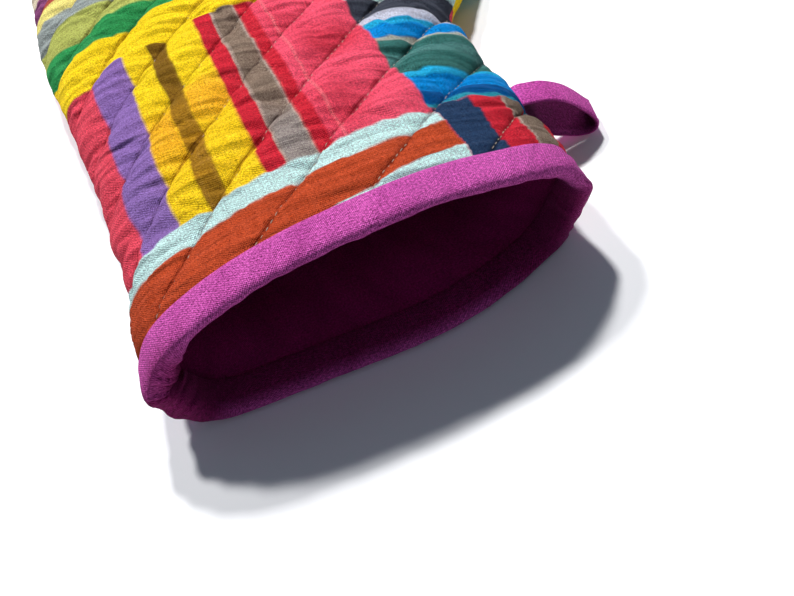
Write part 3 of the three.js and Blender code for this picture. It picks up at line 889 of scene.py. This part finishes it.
def binding():
    """Folded strip over the raw edges: outer flap, rounded rim, inner flap, with puckers."""
    count = 560
    ring, normal, s, length = mouth_ring(count)
    out, y = np.array(BINDING_SECTION).T
    run = np.concatenate([[0], np.cumsum(np.hypot(np.diff(out), np.diff(y)))])
    fine = np.linspace(0, run[-1], 46)
    out, y = np.interp(fine, run, out), np.interp(fine, run, y)
    tangent = np.column_stack([np.gradient(out), np.gradient(y)])
    facing = np.column_stack([-tangent[:, 1], tangent[:, 0]])
    facing /= np.linalg.norm(facing, axis=1)[:, None]
    if facing[4, 0] < 0:
        facing = -facing
    across, along = np.meshgrid(fine, s)
    # Soft waves and diagonal drag lines in the strip; more of them where it turns at the two ends.
    turn = np.abs(ring[:, 0]) / np.abs(ring[:, 0]).max()
    busy = (0.3 + 0.7 * smooth(turn, 0.8, 0.98))[:, None]
    wrap = lambda scale: length / max(round(length / scale), 1)
    slant = along + 0.7 * across
    waves = 0.7 * busy * noise(slant / wrap(8.0), across / 11, 21)
    waves += 0.25 * noise(slant / wrap(24.0), across / 14, 22)
    puckered = smooth(turn, 0.78, 0.94)[:, None] * smooth(across, 9, 18)
    waves += 1.1 * puckered * noise(along / wrap(4.2), across / 22, 23)
    waves += 0.25 * noise(slant / wrap(3.6), across / 12, 24)
    # At the left end the strip is gathered, so creases fan out over its inner side.
    fan = along + 0.55 * across + 2.2 * noise(along / wrap(12.0), across / 10, 25)
    gather = wrap(5.6)
    crease_line = np.exp(-((np.abs(fan / gather % 1 - 0.5) * gather / 1.05) ** 2))
    gathered = smooth(-ring[:, 0], 50, 66)[:, None] * smooth(across, 12, 17)
    waves = np.maximum(waves, DEEPEST_CREASE) + gathered * (0.5 - crease_line)
    waves = np.maximum(waves, DEEPEST_CREASE)
    ends = smooth(across, 0, 3) * (1 - smooth(across, run[-1] - 3, run[-1]))
    low = smooth(ring[:, 1], 0.5, 6)[:, None]
    swell = waves * ends * (0.4 + 0.6 * low)
    # A seam of the folded edge pulls the strip in a little just short of the flap's end.
    swell -= 0.25 * np.exp(-(((across - 1.6) / 0.7) ** 2))
    # The inner flap stands off thicker at the ends of the mouth, where the layers crowd together.
    crowd = 1.1 * smooth(-ring[:, 0], 48, 68) + 0.5 * smooth(ring[:, 0], 52, 70)
    reach = out[None, :] * np.where(out < -0.9, 1 + crowd[:, None], 1) + swell * facing[None, :, 0]
    depth = y[None, :] + swell * facing[None, :, 1]
    points = np.stack([
        ring[:, None, 0] + normal[:, None, 0] * reach,
        depth,
        ring[:, None, 1] + normal[:, None, 1] * reach,
    ], axis=-1)
    rows, columns = points.shape[:2]
    index = np.arange(rows * columns).reshape(rows, columns)
    after = np.roll(index, -1, axis=0)
    quads = np.stack([index[:, :-1], after[:, :-1], after[:, 1:], index[:, 1:]], axis=-1).reshape(-1, 4)
    flat_points = settle(points.reshape(-1, 3))
    flat_points[:, 2] = np.maximum(flat_points[:, 2], 0.05)
    shading = vertex_normals(flat_points, quads)
    outward = np.repeat(normal, columns, axis=0)
    if (shading[:, 0] * outward[:, 0] + shading[:, 2] * outward[:, 1])[4::columns].mean() < 0:
        quads = quads[:, ::-1]
    uv = np.column_stack([along.ravel(), across.ravel()])
    piece = new_mesh("cuff_binding_cloth", flat_points, quads, uv)
    dress(piece, BINDING)
    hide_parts("cuff_binding")
    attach(piece, "hand")


LOOP_HINGE = np.array([73.0, 58.5, 21.0])
LOOP_WIDTH, LOOP_THICKNESS = 11.0, 1.5
LOOP_TURN = math.radians(10)  # its tip is nearer the cuff than its root
# The ribbon's path from its root, as (out from the seam, up).
LOOP_WAY = [(-4, 0.3), (-0.5, 1.9), (3, 1.6), (7.6, 0.7), (12, -1.6), (15.8, -4.6), (19.3, -8.5),
            (22.3, -12.6), (23.8, -16), (23.2, -18.6), (20.7, -19.6), (17, -19.1), (13.4, -17.7),
            (9.0, -15.8), (4.4, -12.4), (1.2, -7.0), (-1.2, -2.4), (-4, -1.2)]


def catmull(points, steps):
    """Points along a Catmull-Rom curve."""
    p = np.vstack([2 * points[0] - points[1], points, 2 * points[-1] - points[-2]])
    curve = []
    for i in range(1, len(p) - 2):
        t = np.linspace(0, 1, steps, endpoint=False)[:, None]
        a, b, c, d = p[i - 1 : i + 3]
        square, cube = 2 * a - 5 * b + 4 * c - d, 3 * b - a - 3 * c + d
        curve.append(0.5 * (2 * b + (c - a) * t + square * t**2 + cube * t**3))
    return np.vstack(curve + [p[-2:-1]])


def hanging_loop():
    """Folded ribbon with a stitched line along each edge, its ends sewn into the side seam."""
    way = catmull(np.array(LOOP_WAY, float), 9)
    tangent = np.gradient(way, axis=0)
    tangent /= np.linalg.norm(tangent, axis=1)[:, None]
    up = np.column_stack([-tangent[:, 1], tangent[:, 0]])
    half, thick = LOOP_WIDTH / 2, LOOP_THICKNESS / 2
    w = np.array([-1, -0.97, -0.88, -0.76, -0.7, -0.5, 0, 0.5, 0.7, 0.76, 0.88, 0.97, 1]) * half
    round_edge = thick * np.sqrt(np.clip(1 - ((np.abs(w) - half + thick) / thick).clip(0) ** 2, 0.06, 1))
    pressed = 1 - 0.3 * np.exp(-(((np.abs(w) - 0.76 * half) / 0.35) ** 2))
    face = round_edge * pressed
    section = np.vstack([np.column_stack([w, face]), np.column_stack([w[::-1], -face[::-1]])])
    run = run_along(way)
    points, uv = [], []
    for i, ((x, z), n) in enumerate(zip(way, up)):
        sway = 2.6 * math.sin(math.pi * min(run[i] / run[-1], 1.0)) * run[i] / run[-1]
        tilt = 3.4 * smooth(run[i] / run[-1], 0.42, 0.62) * (1 - smooth(run[i] / run[-1], 0.86, 0.99))
        for k, (y, h) in enumerate(section):
            raised = z + tilt * (1 + y / half)
            ripple = 0.12 * noise(np.array([run[i] / 5.0]), np.array([y / 6.0 + 3]), 31)[0]
            reach, side = x + n[0] * (h + ripple), y + sway
            points.append((
                LOOP_HINGE[0] + reach * math.cos(LOOP_TURN) + side * math.sin(LOOP_TURN),
                LOOP_HINGE[1] + side * math.cos(LOOP_TURN) - reach * math.sin(LOOP_TURN),
                LOOP_HINGE[2] + raised + n[1] * (h + ripple),
            ))
            # The inner face takes v past 13, where the ribbon's painted shade falls.
            uv.append((run[i], y if k < len(w) else y + 20))
    count = len(section)
    quads = []
    for i in range(len(way) - 1):
        for k in range(count):
            j = (k + 1) % count
            quads.append((i * count + k, i * count + j, (i + 1) * count + j, (i + 1) * count + k))
    last = (len(way) - 1) * count
    for k in range(len(w) - 1):
        quads.append((k + 1, k, count - 1 - k, count - 2 - k))
        quads.append((last + k, last + k + 1, last + count - 2 - k, last + count - 1 - k))
    points = np.array(points)
    points[:, 2] = np.maximum(points[:, 2], 0.3)
    quads = np.array(quads)
    normal = vertex_normals(points, quads)
    top = count * 30 + 6
    if normal[top] @ np.array([up[30][0], 0, up[30][1]]) < 0:
        quads = quads[:, ::-1]
    piece = new_mesh("hanging_loop_ribbon", points, quads, np.array(uv))
    dress(piece, RIBBON)
    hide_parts("hanging_loop")
    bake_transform(piece)


for palm in (True, False):
    outer_panel(palm)
    lining_panel(palm)
binding()
hanging_loop()

# ---------------------------------------------------------------- floor, light and camera


def floor():
    mesh = bpy.data.meshes.new("floor")
    mesh.from_pydata([(-3, -3, 0), (3, -3, 0), (3, 3, 0), (-3, 3, 0)], [], [(0, 1, 2, 3)])
    obj = add_object("floor", mesh)
    material = bpy.data.materials.new("floor")
    material.use_nodes = True
    bsdf = material.node_tree.nodes["Principled BSDF"]
    bsdf.inputs["Base Color"].default_value = (0.97, 0.97, 0.98, 1)
    bsdf.inputs["Roughness"].default_value = 0.6
    mesh.materials.append(material)


def area_light(name, way, distance, size, energy, colour=(1, 1, 1)):
    """Square lamp that shines on the mitt from a direction."""
    lamp = bpy.data.lights.new(name, "AREA")
    lamp.size, lamp.energy, lamp.color = size, energy, colour
    obj = add_object(name, lamp)
    way = Vector(way).normalized()
    target = Vector(place([0, 40, 20]))
    obj.location = target + way * distance
    obj.rotation_euler = way.to_track_quat("Z", "Y").to_euler()


def camera():
    """Close above the cuff, looking along the mitt, the camera held a little turned."""
    lens = bpy.data.cameras.new("camera")
    lens.sensor_width, lens.lens = 36.0, 43.0
    lens.clip_start = 0.01
    obj = add_object("camera", lens)
    yaw, pitch, roll = (math.radians(a) for a in (7.5, 48.3, -19.1))
    look = Vector((math.sin(yaw) * math.cos(pitch), math.cos(yaw) * math.cos(pitch), -math.sin(pitch)))
    right = look.cross(Vector((0, 0, 1))).normalized()
    up = right.cross(look)
    right, up = right * math.cos(roll) + up * math.sin(roll), up * math.cos(roll) - right * math.sin(roll)
    turn = Matrix((right, up, -look)).transposed().to_4x4()
    obj.matrix_world = Matrix.Translation(Vector(place([-19.1, -177.2, 223.6]))) @ turn
    bpy.context.scene.camera = obj


floor()
area_light("key", (0.14, 0.65, 1.0), 1.3, 0.12, 14.5)
area_light("second_key", (-0.22, 0.60, 1.0), 1.3, 0.12, 11.0)
area_light("fill", (-0.4, -0.9, 0.9), 1.2, 0.5, 0.45, (0.80, 0.92, 1.0))
world = bpy.data.worlds.new("studio")
world.use_nodes = True
background = world.node_tree.nodes["Background"]
background.inputs["Color"].default_value = (0.80, 0.98, 1.22, 1)
background.inputs["Strength"].default_value = 0.115
bpy.context.scene.world = world
bpy.context.scene.view_settings.view_transform = "Standard"
camera()
